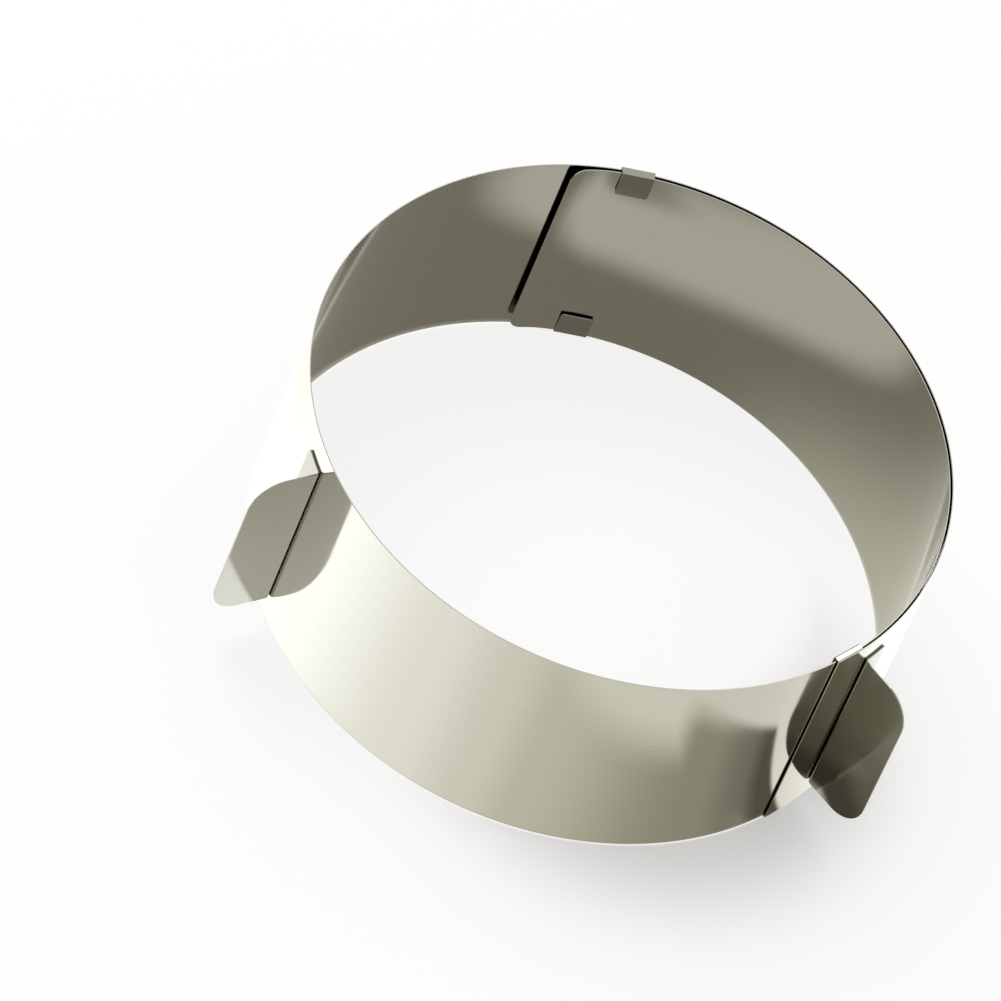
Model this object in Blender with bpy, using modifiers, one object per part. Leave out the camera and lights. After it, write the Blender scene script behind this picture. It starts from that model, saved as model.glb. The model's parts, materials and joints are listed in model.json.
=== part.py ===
"""Adjustable cake ring of stainless steel sheet, in metres, +Z up.

One springy strip is wound into a ring that overlaps itself. Two bent sheet handles are spot
welded to its outside, at the strip's outer end and about half way along. Each end of the strip
hooks over both rims of the layer beside it, so squeezing the handles together slides the layers
over each other and narrows the ring.

The strip is one elastic piece. It is built here as a row of rigid lengths, and each seam between
two lengths is the upright axis on which the strip bends there. The ring stands on its bottom
hooks, and the origin is below the middle of its outline.
"""

import math

import bmesh
import bpy
from mathutils import Vector

# The strip
RING_DIAMETER = 0.220
BAND_HEIGHT = 0.085
BAND_THICKNESS = 0.0004
STRIP_LENGTH = 0.985
LAYER_PITCH = 0.0014
SEGMENT_COUNT = 32
SEAM_GAP = 0.00015
FREE_END_CORNER_RADIUS = 0.005

# The handles, placed along the strip from its inner end or back from its outer end
HANDLE_HEIGHT = 0.067
HANDLE_REACH = 0.0242
HANDLE_LEAN_DEGREES = 7.5
HANDLE_THICKNESS = 0.0006
HANDLE_CORNER_RADIUS = 0.012
HANDLE_BEND_RADIUS = 0.0008
FLANGE_WIDTH = 0.011
FLANGE_CORNER_RADIUS = 0.002
LEFT_HANDLE_PLACE = 0.500
RIGHT_HANDLE_FROM_END = 0.0165
WELD_GAP = 0.0001

# The hooks over the rims
HOOK_WIDTH = 0.0115
HOOK_LIP_LENGTH = 0.0105
HOOK_BEND_RADIUS = 0.0005
HOOK_CORNER_RADIUS = 0.001
RIM_CLEARANCE = 0.0003
SLIDING_ROOM = 0.0018
CLIP_THICKNESS = 0.0004
CLIP_TAB_LENGTH = 0.0105
CLIP_LIP_LENGTH = 0.0075
CLIP_FROM_END = 0.017

# How finely the round stretches are divided
STEPS_PER_SEGMENT = 6
STEPS_PER_CORNER = 6
STEPS_PER_BEND = 4

LEFT_HANDLE_SEGMENT = int(LEFT_HANDLE_PLACE / STRIP_LENGTH * SEGMENT_COUNT)
RIGHT_HANDLE_PLACE = STRIP_LENGTH - RIGHT_HANDLE_FROM_END
SEGMENT_LENGTH = STRIP_LENGTH / SEGMENT_COUNT
HOOK_RISE = RIM_CLEARANCE + max(BAND_THICKNESS, CLIP_THICKNESS)


def clear_scene():
    for old in list(bpy.data.objects):
        bpy.data.objects.remove(old)


def turn_at(place):
    """The angle round the ring, in radians from the inner end, of a place along the strip.

    The strip lies on an Archimedean spiral, so each layer is one pitch outside the last."""
    start_radius = RING_DIAMETER / 2 - LAYER_PITCH / 2
    growth = LAYER_PITCH / math.pi
    return 2 * place / (start_radius + math.sqrt(start_radius**2 + growth * place))


def radius_at(turn):
    return RING_DIAMETER / 2 + LAYER_PITCH * (turn - math.pi) / math.tau


# The front of the ring, towards -Y, is half way between the two handles.
FRONT_TURN = (turn_at(LEFT_HANDLE_PLACE) + turn_at(RIGHT_HANDLE_PLACE) - math.tau) / 2


def on_strip(place, outward, height):
    """The point at a place along the strip, a distance outside its middle, above its lower rim."""
    turn = turn_at(place)
    angle = FRONT_TURN - math.pi / 2 - turn
    radius = radius_at(turn) + outward
    return Vector((radius * math.cos(angle), radius * math.sin(angle), height + HOOK_RISE))


def steel(name, colour, roughness):
    material = bpy.data.materials.new(name)
    material.use_nodes = True
    shader = material.node_tree.nodes["Principled BSDF"]
    shader.inputs["Base Color"].default_value = (*colour, 1)
    shader.inputs["Metallic"].default_value = 1
    shader.inputs["Roughness"].default_value = roughness
    return material


def spaced(first, last, count):
    return [first + (last - first) * i / count for i in range(count + 1)]


def rounded_path(corners, bend_radius):
    """A bent sheet's profile: straight between its corners, with a quarter round at each bend."""
    path = [Vector(corners[0])]
    for before, corner, after in zip(corners, corners[1:], corners[2:]):
        corner = Vector(corner)
        towards = (corner - Vector(before)).normalized()
        away = (Vector(after) - corner).normalized()
        for i in range(STEPS_PER_BEND + 1):
            angle = math.pi / 2 * i / STEPS_PER_BEND
            path.append(
                corner
                - towards * bend_radius * (1 - math.sin(angle))
                + away * bend_radius * (1 - math.cos(angle))
            )
    return path + [Vector(corners[-1])]


def corner_cuts(radius):
    """(distance from the edge, depth cut off the side) for each step of a rounded corner."""
    cuts = []
    for i in range(STEPS_PER_CORNER + 1):
        angle = math.pi / 2 * i / STEPS_PER_CORNER
        cuts.append((radius * (1 - math.cos(angle)), radius * (1 - math.sin(angle))))
    return cuts


def sheet_mesh(name, columns, thickness, more_strips=()):
    """A sheet of even thickness about a surface given as columns of points.

    Each of more_strips is another list of columns, which shares points with the first."""
    mesh = bpy.data.meshes.new(name)
    shape = bmesh.new()
    for strip in (columns, *more_strips):
        rows = [[shape.verts.new(point) for point in column] for column in strip]
        for left, right in zip(rows, rows[1:]):
            for i in range(len(left) - 1):
                shape.faces.new((left[i], right[i], right[i + 1], left[i + 1]))
    bmesh.ops.remove_doubles(shape, verts=shape.verts, dist=thickness / 100)
    bmesh.ops.recalc_face_normals(shape, faces=shape.faces)
    shape.to_mesh(mesh)
    shape.free()
    mesh.shade_smooth()
    mesh.set_sharp_from_angle(angle=math.radians(30))
    sheet = bpy.data.objects.new(name, mesh)
    solid = sheet.modifiers.new("sheet thickness", "SOLIDIFY")
    solid.thickness = thickness
    solid.offset = 0
    solid.use_even_offset = True
    return sheet


def place_object(sheet, origin, material, parent=None):
    """Moves the sheet's origin to a point in the world, and hangs the sheet on its parent."""
    sheet.data.transform(sheet.matrix_world.Translation(-origin))
    sheet.data.materials.append(material)
    cake_ring.objects.link(sheet)
    sheet.parent = parent
    sheet.location = origin - (world_origin[parent.name] if parent else Vector())
    world_origin[sheet.name] = origin
    return sheet


def hook_profile(lip_offset, lip_length, thickness, tail_length, at_top):
    """(outward, height) points up past a rim, over it and back along the neighbour layer.

    The lip's and the tail's lengths are measured down from the top of the roof between them."""
    top = BAND_HEIGHT + RIM_CLEARANCE + thickness
    roof = top - thickness / 2
    corners = [(0, top - tail_length), (0, roof), (lip_offset, roof), (lip_offset, top - lip_length)]
    path = rounded_path(corners, HOOK_BEND_RADIUS)
    return [(out, height if at_top else BAND_HEIGHT - height) for out, height in path]


def shortened(path, cut):
    """The profile with a little cut off its last stretch, where the sheet's corner is rounded."""
    return path[:-1] + [(path[-1][0], path[-1][1] + math.copysign(cut, path[-2][1] - path[-1][1]))]


def hook_columns(first, last, profile, base_outward=0, round_tail=False):
    """The hook's columns along the strip, with its lip's corners rounded."""
    cuts = corner_cuts(HOOK_CORNER_RADIUS)
    places = [(first + along, cut) for along, cut in cuts]
    places += [(last - along, cut) for along, cut in reversed(cuts)]
    columns = []
    for place, cut in places:
        path = shortened(profile, cut)
        if round_tail:
            path = shortened(path[::-1], cut)[::-1]
        columns.append([on_strip(place, base_outward + out, height) for out, height in path])
    return columns


def band_segment(index):
    """One rigid length of the strip, between two seams."""
    first = index * SEGMENT_LENGTH + SEAM_GAP / 2
    last = (index + 1) * SEGMENT_LENGTH - SEAM_GAP / 2
    name = f"band_segment_{index + 1:02d}"
    if index == 0:
        return free_end(name, last)
    if index == SEGMENT_COUNT - 1:
        return hooked_end(name, first)
    places = spaced(first, last, STEPS_PER_SEGMENT)
    columns = [[on_strip(place, 0, 0), on_strip(place, 0, BAND_HEIGHT)] for place in places]
    return sheet_mesh(name, columns, BAND_THICKNESS)


def free_end(name, last):
    """The strip's inner end, whose two corners are rounded."""
    ends = corner_cuts(FREE_END_CORNER_RADIUS)
    ends += [(place, 0) for place in spaced(FREE_END_CORNER_RADIUS, last, STEPS_PER_SEGMENT)[1:]]
    columns = [[on_strip(place, 0, cut), on_strip(place, 0, BAND_HEIGHT - cut)] for place, cut in ends]
    return sheet_mesh(name, columns, BAND_THICKNESS)


def hooked_end(name, first):
    """The strip's outer end, with a tab at each rim folded inwards over the inner layer."""
    lip_offset = -(SLIDING_ROOM + BAND_THICKNESS)
    hook_start = STRIP_LENGTH - HOOK_WIDTH
    to_rim = RIM_CLEARANCE + BAND_THICKNESS
    hooks = []
    for at_top in (True, False):
        profile = hook_profile(lip_offset, HOOK_LIP_LENGTH, BAND_THICKNESS, to_rim, at_top)
        hooks.append(hook_columns(hook_start, STRIP_LENGTH, profile))
    places = spaced(first, hook_start, STEPS_PER_SEGMENT)[:-1]
    places += [hook_start + along for along, _ in corner_cuts(HOOK_CORNER_RADIUS)]
    places += [STRIP_LENGTH - along for along, _ in reversed(corner_cuts(HOOK_CORNER_RADIUS))]
    columns = [[on_strip(place, 0, 0), on_strip(place, 0, BAND_HEIGHT)] for place in places]
    return sheet_mesh(name, columns, BAND_THICKNESS, hooks)


def free_end_clip(name, at_top):
    """A U of sheet welded inside the strip's inner end and hooked over the outer layer."""
    seat = -(BAND_THICKNESS + CLIP_THICKNESS) / 2 - WELD_GAP
    lip_offset = SLIDING_ROOM + CLIP_THICKNESS + WELD_GAP + BAND_THICKNESS
    profile = hook_profile(lip_offset, CLIP_LIP_LENGTH, CLIP_THICKNESS, CLIP_TAB_LENGTH, at_top)
    columns = hook_columns(CLIP_FROM_END, CLIP_FROM_END + HOOK_WIDTH, profile, seat, round_tail=True)
    return sheet_mesh(name, columns, CLIP_THICKNESS)


def handle(name, place, flange_side):
    """A sheet bent into an L: a flange along the strip, and a wing that leans off its flange."""
    seat = (BAND_THICKNESS + HANDLE_THICKNESS) / 2 + WELD_GAP
    tip_outward = BAND_THICKNESS / 2 + HANDLE_REACH
    lean = math.tan(math.radians(HANDLE_LEAN_DEGREES))
    tip = Vector((-(tip_outward - seat) * lean, tip_outward))
    bend = HANDLE_BEND_RADIUS + HANDLE_THICKNESS / 2
    profile = rounded_path([(FLANGE_WIDTH, seat), (0, seat), tip], bend)
    flange = [(FLANGE_WIDTH - along, seat, cut) for along, cut in corner_cuts(FLANGE_CORNER_RADIUS)]
    flange_places = spaced(FLANGE_WIDTH - FLANGE_CORNER_RADIUS, profile[1][0], STEPS_PER_CORNER)
    flange += [(along, seat, 0) for along in flange_places[1:-1]]
    wing = [(along, outward, 0) for along, outward in profile[1:-1]]
    inwards = (profile[-2] - tip).normalized()
    wing += [(*(tip + inwards * out), cut) for out, cut in reversed(corner_cuts(HANDLE_CORNER_RADIUS))]
    # The flange follows the strip's curve. The bend and the wing are straight, so they are set
    # out along the strip's direction at the bend.
    ahead = (on_strip(place + flange_side * SEAM_GAP, 0, 0) - on_strip(place, 0, 0)).normalized()
    spots = [(on_strip(place + flange_side * along, outward, 0), cut) for along, outward, cut in flange]
    spots += [(on_strip(place, outward, 0) + ahead * along, cut) for along, outward, cut in wing]
    up = Vector((0, 0, 1))
    lower = (BAND_HEIGHT - HANDLE_HEIGHT) / 2
    columns = [
        [spot + up * (lower + cut), spot + up * (lower + HANDLE_HEIGHT - cut)] for spot, cut in spots
    ]
    return sheet_mesh(name, columns, HANDLE_THICKNESS)


def centre_outline():
    """Moves the ring so that the middle of its outline is above the origin."""
    bpy.context.view_layer.update()
    corners = [piece.matrix_world @ Vector(corner) for piece in cake_ring.objects for corner in piece.bound_box]
    for axis in range(2):
        across = [corner[axis] for corner in corners]
        root.location[axis] -= (min(across) + max(across)) / 2


clear_scene()
cake_ring = bpy.data.collections.new("adjustable_cake_ring")
bpy.context.scene.collection.children.link(cake_ring)
world_origin = {}

band_steel = steel("strip_steel", (0.62, 0.61, 0.56), 0.22)
handle_steel = steel("handle_steel", (0.50, 0.49, 0.44), 0.26)
clip_steel = steel("clip_steel", (0.54, 0.53, 0.48), 0.28)

seams = [on_strip(index * SEGMENT_LENGTH, 0, 0) for index in range(SEGMENT_COUNT + 1)]
root = place_object(band_segment(LEFT_HANDLE_SEGMENT), seams[LEFT_HANDLE_SEGMENT], band_steel)
segments = {LEFT_HANDLE_SEGMENT: root}
for index in range(LEFT_HANDLE_SEGMENT + 1, SEGMENT_COUNT):
    segments[index] = place_object(band_segment(index), seams[index], band_steel, segments[index - 1])
for index in reversed(range(LEFT_HANDLE_SEGMENT)):
    segments[index] = place_object(band_segment(index), seams[index + 1], band_steel, segments[index + 1])

left_seat = on_strip(LEFT_HANDLE_PLACE, 0, 0)
right_seat = on_strip(RIGHT_HANDLE_PLACE, 0, 0)
clip_seat = on_strip(CLIP_FROM_END, 0, 0)
place_object(handle("left_handle", LEFT_HANDLE_PLACE, 1), left_seat, handle_steel, root)
place_object(
    handle("right_handle", RIGHT_HANDLE_PLACE, -1), right_seat, handle_steel, segments[SEGMENT_COUNT - 1]
)
place_object(free_end_clip("free_end_top_clip", True), clip_seat, clip_steel, segments[0])
place_object(free_end_clip("free_end_bottom_clip", False), clip_seat, clip_steel, segments[0])
centre_outline()
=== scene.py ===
"""The adjustable cake ring of polished stainless sheet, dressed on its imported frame.

Metres, +Z up, the ring standing on the floor with its handles towards -Y."""

import json
import math

import bmesh
import bpy
from mathutils import Euler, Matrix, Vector


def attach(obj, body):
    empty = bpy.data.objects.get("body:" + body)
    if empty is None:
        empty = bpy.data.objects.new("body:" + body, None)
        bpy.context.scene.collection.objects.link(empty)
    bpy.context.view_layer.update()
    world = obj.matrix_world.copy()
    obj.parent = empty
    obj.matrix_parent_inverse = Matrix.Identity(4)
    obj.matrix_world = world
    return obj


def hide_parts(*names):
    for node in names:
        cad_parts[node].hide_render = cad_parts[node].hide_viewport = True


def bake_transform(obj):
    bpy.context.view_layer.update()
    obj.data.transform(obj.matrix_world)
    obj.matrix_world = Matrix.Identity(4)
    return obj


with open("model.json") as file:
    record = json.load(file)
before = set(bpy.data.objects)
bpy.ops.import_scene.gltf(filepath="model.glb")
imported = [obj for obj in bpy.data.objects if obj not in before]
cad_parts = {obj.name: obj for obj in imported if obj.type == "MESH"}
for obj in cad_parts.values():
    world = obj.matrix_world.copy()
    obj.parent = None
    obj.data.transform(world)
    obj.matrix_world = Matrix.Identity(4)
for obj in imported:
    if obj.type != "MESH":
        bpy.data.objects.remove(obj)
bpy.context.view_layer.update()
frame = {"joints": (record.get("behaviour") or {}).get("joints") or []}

# The camera
# A long lens from above the front, rolled a little, as the ring was photographed.

camera_data = bpy.data.cameras.new("camera")
camera_data.lens = 431.6
camera_data.sensor_width = 36
camera_data.clip_end = 50
camera = bpy.data.objects.new("camera", camera_data)
camera.location = (-0.33254, -2.65835, 3.02426)
camera.rotation_euler = Euler([math.radians(angle) for angle in (39.287, -15.474, 11.58)])
bpy.context.scene.collection.objects.link(camera)
bpy.context.scene.camera = camera
bpy.context.scene.view_settings.view_transform = "Standard"

# The strip
# One springy strip of stainless sheet, slit and deburred, wound nearly a turn and a half into
# a ring. The frame cuts it into rigid lengths; these pieces run from the middle of one length
# to the middle of the next, so that it stays one ribbon.

RING_DIAMETER = 0.220
BAND_HEIGHT = 0.085
BAND_THICKNESS = 0.0004
STRIP_LENGTH = 0.985
LAYER_PITCH = 0.0014
SEGMENT_COUNT = 32
SEGMENT_LENGTH = STRIP_LENGTH / SEGMENT_COUNT
LEFT_HANDLE_PLACE = 0.500
LEFT_HANDLE_INDEX = int(LEFT_HANDLE_PLACE / SEGMENT_LENGTH) + 1
RIGHT_HANDLE_FROM_END = 0.0165
RIGHT_HANDLE_PLACE = STRIP_LENGTH - RIGHT_HANDLE_FROM_END
FREE_END_CORNER_RADIUS = 0.005
RIM_CLEARANCE = 0.0003
HOOK_RISE = RIM_CLEARANCE + BAND_THICKNESS
EDGE_RADIUS = 0.00012
JOIN_STEP = 0.0001
COLUMNS_PER_LENGTH = 16
EDGE_SLOT = 1

# The hooks draw the outer end in, and the inner layer's own spring presses it outwards. The
# swell's rise and fall are each a first and a last place along the strip.
CLOSING_START = 0.860
CLOSING_IN = 0.0003
SWELL_OUT = 0.00025
SWELL_RISE = (0.04, 0.12)
SWELL_FALL = (0.30, 0.37)


def turn_at(place):
    """The angle round the ring from the inner end; each layer is one pitch outside the last."""
    start_radius = RING_DIAMETER / 2 - LAYER_PITCH / 2
    growth = LAYER_PITCH / math.pi
    return 2 * place / (start_radius + math.sqrt(start_radius**2 + growth * place))


def eased(value, start, end):
    """Runs smoothly from 0 at the start to 1 at the end."""
    along = min(1, max(0, (value - start) / (end - start)))
    return along * along * (3 - 2 * along)


FRONT_TURN = (turn_at(LEFT_HANDLE_PLACE) + turn_at(RIGHT_HANDLE_PLACE) - math.tau) / 2


def spiral_point(place, outward, height):
    """A point of the strip, measured from the spiral's centre on the floor."""
    turn = turn_at(place)
    angle = FRONT_TURN - math.pi / 2 - turn
    closing = max(0, (place - CLOSING_START) / (STRIP_LENGTH - CLOSING_START))
    swelling = eased(place, *SWELL_RISE) - eased(place, *SWELL_FALL)
    outward += SWELL_OUT * swelling - CLOSING_IN * closing**2
    radius = RING_DIAMETER / 2 + LAYER_PITCH * (turn - math.pi) / math.tau + outward
    return Vector((radius * math.cos(angle), radius * math.sin(angle), height + HOOK_RISE))


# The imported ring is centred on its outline, so one of its hinges gives the spiral's centre:
# the one on the seam after the length that carries the left handle.
first_hinge = next(joint for joint in frame["joints"] if joint["name"] == "ring_diameter")
ring_centre = Vector(first_hinge["pos_m"]) - spiral_point(LEFT_HANDLE_INDEX * SEGMENT_LENGTH, 0, 0)
ring_centre.z = 0


def on_strip(place, outward, height):
    """The point at a place along the strip, a distance outside its middle, above its lower rim."""
    return ring_centre + spiral_point(place, outward, height)


def linear(hex_colour):
    """A hex colour as it looks on screen, as the linear values that a shader wants."""
    values = [int(hex_colour[i : i + 2], 16) / 255 for i in (1, 3, 5)]
    return (*(v / 12.92 if v <= 0.04045 else ((v + 0.055) / 1.055) ** 2.4 for v in values), 1)


def add_node(tree, kind, settings=None, links=None):
    """Adds a node; links gives each input either a constant or the socket that feeds it."""
    node = tree.nodes.new(kind)
    for name, value in (settings or {}).items():
        setattr(node, name, value)
    for name, value in (links or {}).items():
        if isinstance(value, bpy.types.NodeSocket):
            tree.links.new(value, node.inputs[name])
        else:
            node.inputs[name].default_value = value
    return node


# The lines that the polishing leaves are drawn coarser than the real ones, so that they show.
POLISHING_LINE_SPACING = 0.0004
POLISHING_LINE_LENGTH = 0.0625
POLISHING_LINE_DEPTH = 0.00005
HAZE_PATCH_WIDTH = 0.025
BURR_SPACING = 0.001


def polished_steel(name, colour, streak_colour, roughness, dull_roughness):
    """Cold-rolled stainless polished nearly to a mirror: faint drawn streaks, fine haze."""
    material = bpy.data.materials.new(name)
    material.use_nodes = True
    tree = material.node_tree
    tree.nodes.clear()
    place = add_node(tree, "ShaderNodeUVMap", {"uv_map": "sheet_metres"})
    line_scale = (1 / POLISHING_LINE_LENGTH, 1 / POLISHING_LINE_SPACING, 1)
    along = add_node(
        tree, "ShaderNodeMapping", None, {"Vector": place.outputs["UV"], "Scale": line_scale}
    )
    lines = add_node(
        tree,
        "ShaderNodeTexNoise",
        {"noise_dimensions": "2D"},
        {"Vector": along.outputs["Vector"], "Scale": 1.0, "Detail": 3.0, "Roughness": 0.6},
    )
    # Haze from handling, in soft patches.
    haze_scale = 1 / HAZE_PATCH_WIDTH
    haze = add_node(
        tree,
        "ShaderNodeTexNoise",
        {"noise_dimensions": "2D"},
        {"Vector": place.outputs["UV"], "Scale": haze_scale, "Detail": 4.0, "Roughness": 0.55},
    )
    tone = add_node(
        tree,
        "ShaderNodeMix",
        {"data_type": "RGBA"},
        {"Factor": lines.outputs["Fac"], "A": linear(colour), "B": linear(streak_colour)},
    )
    dulling = add_node(
        tree,
        "ShaderNodeMapRange",
        None,
        {
            "Value": haze.outputs["Fac"],
            "From Min": 0.35,
            "From Max": 0.7,
            "To Min": roughness,
            "To Max": dull_roughness,
        },
    )
    relief = add_node(
        tree,
        "ShaderNodeBump",
        None,
        {"Height": lines.outputs["Fac"], "Strength": 0.06, "Distance": POLISHING_LINE_DEPTH},
    )
    shader = add_node(
        tree,
        "ShaderNodeBsdfPrincipled",
        None,
        {
            "Base Color": tone.outputs["Result"],
            "Metallic": 1.0,
            "Roughness": dulling.outputs["Result"],
            "Normal": relief.outputs["Normal"],
        },
    )
    add_node(tree, "ShaderNodeOutputMaterial", None, {"Surface": shader.outputs["BSDF"]})
    return material


def slit_edge(name, colour, roughness):
    """The sheet's cut edges, a little rough from the slitting and deburring.

    They are half metallic, because their fine burr scatters light as well as mirroring it."""
    material = bpy.data.materials.new(name)
    material.use_nodes = True
    tree = material.node_tree
    tree.nodes.clear()
    place = add_node(tree, "ShaderNodeUVMap", {"uv_map": "sheet_metres"})
    # Burr marks across the edge, coarser than the real ones.
    mark_scale = 1 / BURR_SPACING
    marks = add_node(
        tree,
        "ShaderNodeTexNoise",
        {"noise_dimensions": "2D"},
        {"Vector": place.outputs["UV"], "Scale": mark_scale, "Detail": 2.0, "Roughness": 0.5},
    )
    wear = add_node(
        tree,
        "ShaderNodeMapRange",
        None,
        {"Value": marks.outputs["Fac"], "To Min": roughness - 0.08, "To Max": roughness + 0.08},
    )
    shader = add_node(
        tree,
        "ShaderNodeBsdfPrincipled",
        None,
        {"Base Color": linear(colour), "Metallic": 0.5, "Roughness": wear.outputs["Result"]},
    )
    add_node(tree, "ShaderNodeOutputMaterial", None, {"Surface": shader.outputs["BSDF"]})
    return material


def sheet_faces(shape, columns, uv_layer):
    """Adds the middle surface of a sheet, given as (distance along, column of points)."""
    rows = [[shape.verts.new(point) for point in points] for _, points in columns]
    for (here, _), (there, _), left, right in zip(columns, columns[1:], rows, rows[1:]):
        climb = 0
        for i in range(len(left) - 1):
            step = (left[i + 1].co - left[i].co).length
            face = shape.faces.new((left[i], right[i], right[i + 1], left[i + 1]))
            spots = ((here, climb), (there, climb), (there, climb + step), (here, climb + step))
            for loop, spot in zip(face.loops, spots):
                loop[uv_layer].uv = spot
            climb += step


def on_join(face, joins):
    """True for an end face where the piece runs on into the next, and so has no real edge."""
    centre = face.calc_center_median()
    return any(abs((centre - point).dot(along)) < JOIN_STEP / 4 for point, along in joins)


SHARP_ANGLE = math.radians(40)
ROUND_WALL_COSINE = 0.97


def sheet_piece(name, column_lists, thickness, material, joins=(), round_walls=False):
    """A piece of sheet with softly rounded edges, about a middle surface given as columns.

    joins are the planes, as (point, direction), where the piece runs on into the next."""
    mesh = bpy.data.meshes.new(name)
    shape = bmesh.new()
    uv_layer = shape.loops.layers.uv.new("sheet_metres")
    for columns in column_lists:
        sheet_faces(shape, columns, uv_layer)
    bmesh.ops.remove_doubles(shape, verts=shape.verts, dist=thickness / 100)
    bmesh.ops.recalc_face_normals(shape, faces=shape.faces)
    wall_count = 2 * len(shape.faces)
    shape.to_mesh(mesh)
    shape.free()
    piece = bpy.data.objects.new(name, mesh)
    bpy.context.scene.collection.objects.link(piece)
    solid = piece.modifiers.new("sheet thickness", "SOLIDIFY")
    solid.thickness = thickness
    solid.offset = 0
    solid.use_even_offset = True
    graph = bpy.context.evaluated_depsgraph_get()
    thick = bpy.data.meshes.new_from_object(piece.evaluated_get(graph))
    piece.modifiers.clear()
    piece.data = thick
    bpy.data.meshes.remove(mesh)
    thick.name = name

    shape = bmesh.new()
    shape.from_mesh(thick)
    shape.faces.ensure_lookup_table()
    edges_of_sheet = {face for face in shape.faces[wall_count:] if not on_join(face, joins)}
    for face in edges_of_sheet:
        face.material_index = EDGE_SLOT
    sharp = [
        edge
        for edge in shape.edges
        if any(face in edges_of_sheet for face in edge.link_faces)
        and not any(face.index >= wall_count and face not in edges_of_sheet for face in edge.link_faces)
        and edge.calc_face_angle(0) > SHARP_ANGLE
    ]
    bmesh.ops.bevel(
        shape,
        geom=sharp,
        offset=EDGE_RADIUS,
        segments=2,
        profile=0.5,
        affect="EDGES",
        material=EDGE_SLOT,
    )
    normals = [face_weighted_normal(vertex, joins, round_walls) for vertex in shape.verts]
    shape.to_mesh(thick)
    shape.free()
    thick.shade_smooth()
    thick.normals_split_custom_set_from_vertices(normals)
    thick.materials.clear()
    thick.materials.append(material)
    thick.materials.append(edge_steel_painted_light)
    return piece


def face_weighted_normal(vertex, joins, round_walls):
    """Keeps flat walls flat and round ones truly round, and leaves the turn to their edges."""
    faces = [face for face in vertex.link_faces if not on_join(face, joins)]
    total = sum((face.normal * face.calc_area() for face in faces), Vector())
    normal = total.normalized()
    outwards = (vertex.co - ring_centre).to_2d().to_3d().normalized()
    if round_walls and abs(normal.dot(outwards)) > ROUND_WALL_COSINE:
        return outwards * math.copysign(1, normal.dot(outwards))
    return normal


# The edges' colour is painted lighter than the strip's steel, a painted highlight that keeps the rims
# bright.
edge_steel_painted_light = slit_edge("slit_stainless_edge", colour="#E9E7E0", roughness=0.32)
strip_steel = polished_steel(
    "polished_stainless_strip",
    colour="#BDBBB2",
    streak_colour="#B5B3A9",
    roughness=0.06,
    dull_roughness=0.11,
)


def spaced(first, last, count):
    return [first + (last - first) * i / count for i in range(count + 1)]


def strip_along(place):
    ahead = on_strip(place + JOIN_STEP, 0, 0) - on_strip(place - JOIN_STEP, 0, 0)
    return on_strip(place, 0, 0), ahead.normalized()


def body(index):
    return f"strip_{index:02d}"


def middle_of(index):
    return (index - 0.5) * SEGMENT_LENGTH


def bend_with_strip(piece, index):
    """Bakes the piece's placement into its mesh; the ends it works out, at the middles of two lengths,
    are not used.
    """
    start = on_strip(middle_of(index), 0, 0)
    end = on_strip(middle_of(index + 1), 0, 0)
    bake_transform(piece)


def corner_cuts(radius, steps):
    """(distance from the edge, depth cut off the side) for each step of a rounded corner."""
    angles = spaced(0, math.pi / 2, steps)
    return [(radius * (1 - math.cos(angle)), radius * (1 - math.sin(angle))) for angle in angles]


for index in range(1, SEGMENT_COUNT):
    first, last = middle_of(index), middle_of(index + 1)
    places = [first, *spaced(first + JOIN_STEP, last - JOIN_STEP, COLUMNS_PER_LENGTH), last]
    columns = [(place, [on_strip(place, 0, 0), on_strip(place, 0, BAND_HEIGHT)]) for place in places]
    length = sheet_piece(
        f"strip_length_{index:02d}",
        [columns],
        BAND_THICKNESS,
        strip_steel,
        joins=[strip_along(first), strip_along(last)],
        round_walls=True,
    )
    bend_with_strip(length, index)
    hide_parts(f"band_segment_{index:02d}")

# The inner end is cut square, its two corners are rounded off, and it springs a little inwards.
FREE_END_SPRING = 0.0012
FREE_END_CORNER_STEPS = 10
FREE_END_COLUMNS = 6
first_middle = middle_of(1)
cut_places = corner_cuts(FREE_END_CORNER_RADIUS, FREE_END_CORNER_STEPS)
rest = spaced(FREE_END_CORNER_RADIUS, first_middle - JOIN_STEP, FREE_END_COLUMNS)[1:]
cut_places += [(place, 0) for place in (*rest, first_middle)]
columns = []
for place, cut in cut_places:
    inwards = -FREE_END_SPRING * (1 - place / first_middle) ** 2
    columns.append((place, [on_strip(place, inwards, cut), on_strip(place, inwards, BAND_HEIGHT - cut)]))
free_end = sheet_piece(
    "strip_free_end",
    [columns],
    BAND_THICKNESS,
    strip_steel,
    joins=[strip_along(first_middle)],
)
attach(free_end, body(1))
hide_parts("band_segment_01")

# The outer end's hooks
# The strip's outer end has a tab at each rim, folded inwards over the inner layer in a press
# brake, so that the layers slide through it. It is the strip's own metal.

HOOK_WIDTH = 0.0115
HOOK_LIP_LENGTH = 0.0105
HOOK_BEND_RADIUS = 0.0005
HOOK_CORNER_RADIUS = 0.001
SLIDING_ROOM = 0.0018
STEPS_PER_BEND = 6
HOOK_CORNER_STEPS = 6
HOOKED_END_COLUMNS = 2


def rounded_path(corners, bend_radius):
    """A bent sheet's profile: straight between its corners, with a quarter round at each bend."""
    path = [Vector(corners[0])]
    for before, corner, after in zip(corners, corners[1:], corners[2:]):
        corner = Vector(corner)
        towards = (corner - Vector(before)).normalized()
        away = (Vector(after) - corner).normalized()
        for angle in spaced(0, math.pi / 2, STEPS_PER_BEND):
            before_bend = towards * bend_radius * (1 - math.sin(angle))
            path.append(corner - before_bend + away * bend_radius * (1 - math.cos(angle)))
    return path + [Vector(corners[-1])]


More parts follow.
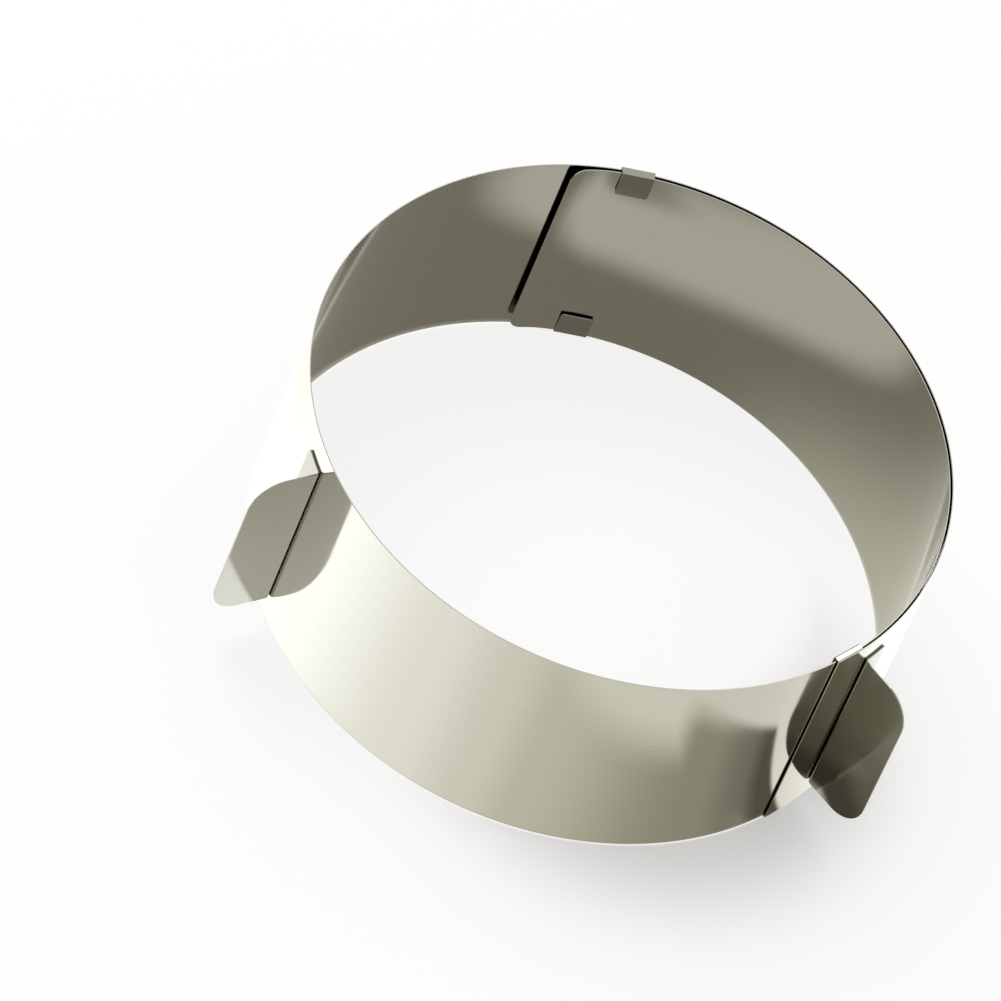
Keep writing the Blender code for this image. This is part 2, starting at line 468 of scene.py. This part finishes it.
def hook_profile(lip_offset, lip_length, thickness, tail_length, at_top, tail_spring=0):
    """(outward, height) points up past a rim, over it and back along the neighbour layer."""
    top = BAND_HEIGHT + RIM_CLEARANCE + thickness
    roof = top - thickness / 2
    tail = (-tail_spring, top - tail_length)
    corners = [tail, (0, roof), (lip_offset, roof), (lip_offset, top - lip_length)]
    path = rounded_path(corners, HOOK_BEND_RADIUS)
    return [(out, height if at_top else BAND_HEIGHT - height) for out, height in path]


def shortened(path, cut):
    """The profile with a little cut off its last stretch, where the sheet's corner is rounded."""
    tip = path[-1][1] + math.copysign(cut, path[-2][1] - path[-1][1])
    return path[:-1] + [(path[-1][0], tip)]


def hook_columns(first, last, profile, base_outward=0, round_tail=False):
    """The hook's columns along the strip, with its lip's corners rounded."""
    cuts = corner_cuts(HOOK_CORNER_RADIUS, HOOK_CORNER_STEPS)
    places = [(first + along, cut) for along, cut in cuts]
    places += [(last - along, cut) for along, cut in reversed(cuts)]
    columns = []
    for place, cut in places:
        path = shortened(profile, cut)
        if round_tail:
            path = shortened(path[::-1], cut)[::-1]
        points = [on_strip(place, base_outward + out, height) for out, height in path]
        columns.append((place, points))
    return columns


last_middle = middle_of(SEGMENT_COUNT)
hook_start = STRIP_LENGTH - HOOK_WIDTH
hooks = []
for at_top in (True, False):
    lip_offset = -(SLIDING_ROOM + BAND_THICKNESS)
    tail = RIM_CLEARANCE + BAND_THICKNESS
    profile = hook_profile(lip_offset, HOOK_LIP_LENGTH, BAND_THICKNESS, tail, at_top)
    hooks.append(hook_columns(hook_start, STRIP_LENGTH, profile))
places = [last_middle, last_middle + JOIN_STEP]
places += spaced(last_middle + JOIN_STEP, hook_start, HOOKED_END_COLUMNS)[1:-1]
places += [place for place, _ in hooks[0]]
columns = [(place, [on_strip(place, 0, 0), on_strip(place, 0, BAND_HEIGHT)]) for place in places]
hooked_end = sheet_piece(
    "strip_hooked_end",
    [columns, *hooks],
    BAND_THICKNESS,
    strip_steel,
    joins=[strip_along(last_middle)],
    round_walls=True,
)
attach(hooked_end, body(SEGMENT_COUNT))
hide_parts(f"band_segment_{SEGMENT_COUNT}")

# The handles
# Two L-shaped sheets of the same stainless, a little thicker, blanked with round outer corners
# and bent once. The narrow flange is spot welded to the ring; the wing is what fingers pinch.

HANDLE_HEIGHT = 0.067
HANDLE_REACH = 0.0242
HANDLE_LEAN_DEGREES = 7.5
HANDLE_THICKNESS = 0.0006
HANDLE_CORNER_RADIUS = 0.012
HANDLE_BEND_RADIUS = 0.0008
FLANGE_WIDTH = 0.011
FLANGE_CORNER_RADIUS = 0.002
WELD_GAP = 0.0001
FLANGE_CORNER_STEPS = 6
FLANGE_COLUMNS = 8
WING_CORNER_STEPS = 14

# The handles' steel is polished less than the strip's, and its colour is painted darker, as
# painted shade, so it mirrors a little darker.
shade_painted_handle_steel = polished_steel(
    "polished_stainless_handle",
    colour="#9D9B91",
    streak_colour="#959389",
    roughness=0.07,
    dull_roughness=0.12,
)


def handle_columns(place, flange_side):
    """The flange follows the strip's curve; the bend and the wing are straight.

    flange_side is 1 where the flange points towards the strip's outer end and -1 if not."""
    seat = (BAND_THICKNESS + HANDLE_THICKNESS) / 2 + WELD_GAP
    tip_outward = BAND_THICKNESS / 2 + HANDLE_REACH
    lean = math.tan(math.radians(HANDLE_LEAN_DEGREES))
    tip = Vector((-(tip_outward - seat) * lean, tip_outward))
    bend = HANDLE_BEND_RADIUS + HANDLE_THICKNESS / 2
    profile = rounded_path([(FLANGE_WIDTH, seat), (0, seat), tip], bend)
    rounding = corner_cuts(FLANGE_CORNER_RADIUS, FLANGE_CORNER_STEPS)
    flange = [(FLANGE_WIDTH - along, seat, cut) for along, cut in rounding]
    flange_places = spaced(FLANGE_WIDTH - FLANGE_CORNER_RADIUS, profile[1][0], FLANGE_COLUMNS)
    flange += [(along, seat, 0) for along in flange_places[1:-1]]
    wing = [(along, outward, 0) for along, outward in profile[1:-1]]
    inwards = (profile[-2] - tip).normalized()
    rounding = corner_cuts(HANDLE_CORNER_RADIUS, WING_CORNER_STEPS)
    wing += [(*(tip + inwards * out), cut) for out, cut in reversed(rounding)]
    ahead = (on_strip(place + flange_side * JOIN_STEP, 0, 0) - on_strip(place, 0, 0)).normalized()
    spots = [(x - y, on_strip(place + flange_side * x, y, 0), cut) for x, y, cut in flange]
    spots += [(x - y, on_strip(place, y, 0) + ahead * x, cut) for x, y, cut in wing]
    up = Vector((0, 0, 1))
    lower = (BAND_HEIGHT - HANDLE_HEIGHT) / 2
    return [
        (run, [spot + up * (lower + cut), spot + up * (lower + HANDLE_HEIGHT - cut)])
        for run, spot, cut in spots
    ]


# The right flange lies between the middles of the strip's last two lengths.
for side, place, flange_side, index in (
    ("left", LEFT_HANDLE_PLACE, 1, LEFT_HANDLE_INDEX),
    ("right", RIGHT_HANDLE_PLACE, -1, SEGMENT_COUNT - 1),
):
    columns = handle_columns(place, flange_side)
    handle = sheet_piece(f"{side}_handle_sheet", [columns], HANDLE_THICKNESS, shade_painted_handle_steel)
    bend_with_strip(handle, index)
    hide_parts(f"{side}_handle")

# The free end's clips
# Two small U-shaped hooks of stainless sheet, spot welded inside the strip's inner end and bent
# outwards over the outer layer's rims, which slide through them.

CLIP_THICKNESS = 0.0004
CLIP_TAB_LENGTH = 0.0105
CLIP_LIP_LENGTH = 0.0075
CLIP_FROM_END = 0.017
CLIP_SPRING = 0.0006

# The clips' steel has the handles' duller polish, and its colour is painted darker than the
# strip's, as painted shade.
shade_painted_clip_steel = polished_steel(
    "polished_stainless_clip",
    colour="#A3A197",
    streak_colour="#9B998F",
    roughness=0.07,
    dull_roughness=0.12,
)
for at_top in (True, False):
    height_name = "top" if at_top else "bottom"
    seat = -(BAND_THICKNESS + CLIP_THICKNESS) / 2 - WELD_GAP
    lip_offset = SLIDING_ROOM + CLIP_THICKNESS + WELD_GAP + BAND_THICKNESS
    sizes = (lip_offset, CLIP_LIP_LENGTH, CLIP_THICKNESS, CLIP_TAB_LENGTH)
    profile = hook_profile(*sizes, at_top, CLIP_SPRING)
    columns = hook_columns(CLIP_FROM_END, CLIP_FROM_END + HOOK_WIDTH, profile, seat, True)
    clip = sheet_piece(f"{height_name}_clip_sheet", [columns], CLIP_THICKNESS, shade_painted_clip_steel)
    bend_with_strip(clip, 1)
    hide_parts(f"free_end_{height_name}_clip")

# The studio
# A plain white floor under a soft key lamp from the back left and an even white surround.


def stage_disc(name, radius, height, material):
    mesh = bpy.data.meshes.new(name)
    shape = bmesh.new()
    bmesh.ops.create_circle(shape, cap_ends=True, segments=96, radius=radius)
    shape.to_mesh(mesh)
    shape.free()
    disc = bpy.data.objects.new(name, mesh)
    disc.location.z = height
    mesh.materials.append(material)
    bpy.context.scene.collection.objects.link(disc)
    return disc


def seen_directly(tree):
    """1 for a ray that shows the backdrop to the camera, in a mirror or through glass."""
    path = add_node(tree, "ShaderNodeLightPath")
    seen = add_node(
        tree,
        "ShaderNodeMath",
        {"operation": "ADD", "use_clamp": True},
        {0: path.outputs["Is Camera Ray"], 1: path.outputs["Is Glossy Ray"]},
    )
    seen = add_node(
        tree,
        "ShaderNodeMath",
        {"operation": "ADD", "use_clamp": True},
        {0: seen.outputs["Value"], 1: path.outputs["Is Transmission Ray"]},
    )
    return seen.outputs["Value"]


def soft_round(tree, place, centre, radius, softness):
    """1 inside a round field and 0 outside it."""
    away = add_node(tree, "ShaderNodeVectorMath", {"operation": "DISTANCE"}, {0: place, 1: centre})
    disc = add_node(
        tree,
        "ShaderNodeMapRange",
        {"interpolation_type": "SMOOTHSTEP"},
        {
            "Value": away.outputs["Value"],
            "From Min": radius + softness / 2,
            "From Max": radius - softness / 2,
        },
    )
    return disc.outputs["Result"]


# The floor is matt white board, which takes soft shadows and has no shine. The photograph's
# white ground is part of its exposure, so its shadows are lifted here too, less so under the
# ring's front right, where the photograph keeps a soft one. A round field is (centre, radius,
# softness).
# The lift is painted light: the floor glows white by it, most inside the ring, in the round field
# INNER_LIGHT, and least in FRONT_SHADE.
FLOOR_LIFT = 0.82
SHADE_LIFT = 0.25
FRONT_SHADE = (Vector((0.040, -0.045, 0)), 0.078, 0.050)
INNER_LIGHT = (Vector((0.0, 0.030, 0)), 0.090, 0.030)

floor_paint = bpy.data.materials.new("matt_white_floor")
floor_paint.use_nodes = True
tree = floor_paint.node_tree
tree.nodes.clear()
paint = add_node(tree, "ShaderNodeBsdfDiffuse", None, {"Color": linear("#F7F4F3")})
white = add_node(tree, "ShaderNodeEmission", None, {"Color": linear("#FFFFFF"), "Strength": 1.0})
place = add_node(tree, "ShaderNodeTexCoord").outputs["Object"]
front_shade = soft_round(tree, place, *FRONT_SHADE)
inner_light = soft_round(tree, place, *INNER_LIGHT)
open_floor = add_node(
    tree, "ShaderNodeMath", {"operation": "SUBTRACT", "use_clamp": True}, {0: 1.0, 1: front_shade}
)
open_floor = add_node(
    tree, "ShaderNodeMath", {"operation": "MAXIMUM"}, {0: open_floor.outputs["Value"], 1: inner_light}
)
lift = add_node(
    tree,
    "ShaderNodeMapRange",
    None,
    {"Value": open_floor.outputs["Value"], "To Min": SHADE_LIFT, "To Max": FLOOR_LIFT},
)
lift = add_node(
    tree, "ShaderNodeMath", {"operation": "MULTIPLY"}, {0: seen_directly(tree), 1: lift.outputs["Result"]}
)
ground = add_node(
    tree,
    "ShaderNodeMixShader",
    None,
    {0: lift.outputs["Value"], 1: paint.outputs["BSDF"], 2: white.outputs["Emission"]},
)
add_node(tree, "ShaderNodeOutputMaterial", None, {"Surface": ground.outputs["Shader"]})
stage_disc("floor", radius=4.0, height=0.0, material=floor_paint)

# A card lies on the floor round the ring and glows: it is painted reflection, which only mirror
# rays see, and it gives the steel its tones: near white at the left, khaki greys in front, a soft
# dark field of painted shade at the right. A round mirror gathers the floor towards a point
# halfway to its middle, so the greys in front fan out round such a point.
CARD_GLOW = 2.37
FRONT_FAN = Vector((-0.007, -0.055, 0))
# Each stop is (degrees round the fan from the back, anticlockwise; colour).
LIGHT_GREYS = (
    (0, "#A3A298"),
    (25, "#ADACA3"),
    (85, "#EEF0F2"),
    (95, "#EEF0F2"),
    (143, "#CFCFCD"),
    (170, "#BCBBB5"),
    (250, "#B7B7B0"),
    (315, "#EBEDF0"),
    (335, "#EBEDF0"),
    (360, "#A3A298"),
)
DARK_GREYS = LIGHT_GREYS[:6] + (
    (190, "#AAA99D"),
    (242, "#7C7B6E"),
    (254, "#636259"),
    (259, "#46443B"),
    (300, "#38372F"),
    (330, "#38372F"),
    (360, "#A3A298"),
)


def fan_of_greys(tree, place, centre, greys):
    """Soft greys by direction round a point."""
    turned = add_node(
        tree,
        "ShaderNodeMapping",
        {"vector_type": "TEXTURE"},
        {"Vector": place, "Location": centre, "Rotation": (0, 0, -math.pi / 2)},
    )
    round_it = add_node(
        tree, "ShaderNodeTexGradient", {"gradient_type": "RADIAL"}, {"Vector": turned.outputs[0]}
    )
    ramp = add_node(tree, "ShaderNodeValToRGB", None, {"Fac": round_it.outputs["Fac"]})
    ramp.color_ramp.interpolation = "EASE"
    stops = ramp.color_ramp.elements
    stops.remove(stops[1])
    stops[0].position = 0
    stops[0].color = linear(greys[0][1])
    for degrees, colour in greys[1:]:
        stops.new(degrees / 360).color = linear(colour)
    return ramp.outputs["Color"]


# Each straight edge of a field is (x, y, inward degrees, softness).
LEFT_SHADE_EDGES = ((0.041, -0.162, 129, 0.03),)
RIGHT_SHADE_EDGES = ((0.069, -0.117, 55, 0.022), (0.110, -0.120, 150, 0.018))
SHADE_END_EDGES = ((0.1205, -0.0945, 165, 0.005), (0.105, -0.071, 252, 0.003))

# The dark foot is a painted contact shadow, which the right wing's lower corner mirrors. Inside
# the ring the card is mid grey, lighter to the right, with painted light where the far wall's top
# looks and a spot of painted shade. Round fields are as above.
FOOT_SHADOW_FIELD = (Vector((0.0785, -0.0815, 0)), 0.004, 0.006)
FOOT_SHADOW_GREY = "#6E6D60"
INNER_RADIUS = 0.110
INNER_SOFTNESS = 0.004
INNER_GREYS = ("#64625A", "#9C9A90")
INNER_GREYS_FROM_X = 0.02
INNER_GREYS_TO_X = 0.11
# A field of painted light on the card, which the far wall's top mirrors.
FAR_TOP_FIELD = (Vector((0.003, 0.050, 0)), 0.024, 0.016)
FAR_TOP_GREY = "#989690"
# A spot of painted shade on the card, which the far wall mirrors round the top clip.
SHADE_SPOT_FIELD = (Vector((0.0180, 0.0375, 0)), 0.009, 0.009)
SHADE_SPOT_GREY = "#6E6C63"


def soft_edged(tree, place, edges):
    """1 inside a field with straight edges and 0 outside it."""
    inside = 1.0
    for x, y, inward, softness in edges:
        heading = Vector((math.cos(math.radians(inward)), math.sin(math.radians(inward)), 0))
        line = heading.dot((x, y, 0))
        reach = add_node(
            tree, "ShaderNodeVectorMath", {"operation": "DOT_PRODUCT"}, {0: place, 1: heading}
        )
        side = add_node(
            tree,
            "ShaderNodeMapRange",
            {"interpolation_type": "SMOOTHSTEP"},
            {
                "Value": reach.outputs["Value"],
                "From Min": line - softness / 2,
                "From Max": line + softness / 2,
            },
        )
        both = add_node(
            tree,
            "ShaderNodeMath",
            {"operation": "MULTIPLY"},
            {0: inside, 1: side.outputs["Result"]},
        )
        inside = both.outputs["Value"]
    return inside


def painted_on(tree, under, over, field):
    """The colour over, painted on the colour under where the field is 1; it lays the card's painted
    reflection and shade.
    """
    mixed = add_node(
        tree, "ShaderNodeMix", {"data_type": "RGBA"}, {"Factor": field, "A": under, "B": over}
    )
    return mixed.outputs["Result"]


card_reflection_paint = bpy.data.materials.new("painted_reflection_card")
card_reflection_paint.use_nodes = True
tree = card_reflection_paint.node_tree
tree.nodes.clear()
place = add_node(tree, "ShaderNodeTexCoord").outputs["Object"]
greys = fan_of_greys(tree, place, FRONT_FAN, LIGHT_GREYS)
shade = fan_of_greys(tree, place, FRONT_FAN, DARK_GREYS)
left_field = soft_edged(tree, place, LEFT_SHADE_EDGES)
right_field = soft_edged(tree, place, RIGHT_SHADE_EDGES)
field = add_node(tree, "ShaderNodeMath", {"operation": "MAXIMUM"}, {0: left_field, 1: right_field})
ends = soft_edged(tree, place, SHADE_END_EDGES)
field = add_node(
    tree, "ShaderNodeMath", {"operation": "MULTIPLY"}, {0: field.outputs["Value"], 1: ends}
)
greys = painted_on(tree, greys, shade, field.outputs["Value"])
greys = painted_on(tree, greys, linear(FOOT_SHADOW_GREY), soft_round(tree, place, *FOOT_SHADOW_FIELD))
across = add_node(tree, "ShaderNodeSeparateXYZ", None, {"Vector": place})
inner = add_node(
    tree,
    "ShaderNodeMapRange",
    {"interpolation_type": "SMOOTHSTEP"},
    {
        "Value": across.outputs["X"],
        "From Min": INNER_GREYS_FROM_X,
        "From Max": INNER_GREYS_TO_X,
    },
)
left_grey, right_grey = (linear(grey) for grey in INNER_GREYS)
inner_greys = painted_on(tree, left_grey, right_grey, inner.outputs["Result"])
far_top = soft_round(tree, place, *FAR_TOP_FIELD)
inner_greys = painted_on(tree, inner_greys, linear(FAR_TOP_GREY), far_top)
shade_spot = soft_round(tree, place, *SHADE_SPOT_FIELD)
inner_greys = painted_on(tree, inner_greys, linear(SHADE_SPOT_GREY), shade_spot)
inside_ring = soft_round(tree, place, ring_centre, INNER_RADIUS, INNER_SOFTNESS)
greys = painted_on(tree, greys, inner_greys, inside_ring)
glow = add_node(tree, "ShaderNodeEmission", None, {"Color": greys, "Strength": CARD_GLOW})
add_node(tree, "ShaderNodeOutputMaterial", None, {"Surface": glow.outputs["Emission"]})
# The card is painted reflection: it glows, and only mirror rays see it.
card = stage_disc("painted_reflection_card", radius=0.6, height=0.0001, material=card_reflection_paint)
card.visible_camera = False
card.visible_diffuse = False
card.visible_transmission = False
card.visible_shadow = False

# The surround looks white, and lights the ring a little less than that.
FILL_STRENGTH = 0.72

world = bpy.data.worlds.new("white_surround")
bpy.context.scene.world = world
world.use_nodes = True
tree = world.node_tree
tree.nodes.clear()
backdrop = add_node(tree, "ShaderNodeBackground", None, {"Color": linear("#FFFFFF"), "Strength": 1.0})
fill = add_node(
    tree, "ShaderNodeBackground", None, {"Color": linear("#FFFFFF"), "Strength": FILL_STRENGTH}
)
surround = add_node(
    tree,
    "ShaderNodeMixShader",
    None,
    {0: seen_directly(tree), 1: fill.outputs["Background"], 2: backdrop.outputs["Background"]},
)
add_node(tree, "ShaderNodeOutputWorld", None, {"Surface": surround.outputs["Shader"]})


def round_softbox(name, width, watts, location):
    """A round lamp that faces the ring."""
    lamp = bpy.data.lights.new(name, "AREA")
    lamp.shape = "DISK"
    lamp.size = width
    lamp.energy = watts
    softbox = bpy.data.objects.new(name, lamp)
    softbox.location = location
    softbox.rotation_euler = (-softbox.location).to_track_quat("-Z", "Y").to_euler()
    bpy.context.scene.collection.objects.link(softbox)
    return softbox


key = round_softbox("key_softbox", width=1.2, watts=24, location=(-1.1, 1.0, 1.9))
key.visible_glossy = False
# A small softbox hangs behind and to the right, for the outer end's folds to mirror.
round_softbox("back_softbox", width=0.4, watts=1.0, location=(0.40, 1.07, 1.50))
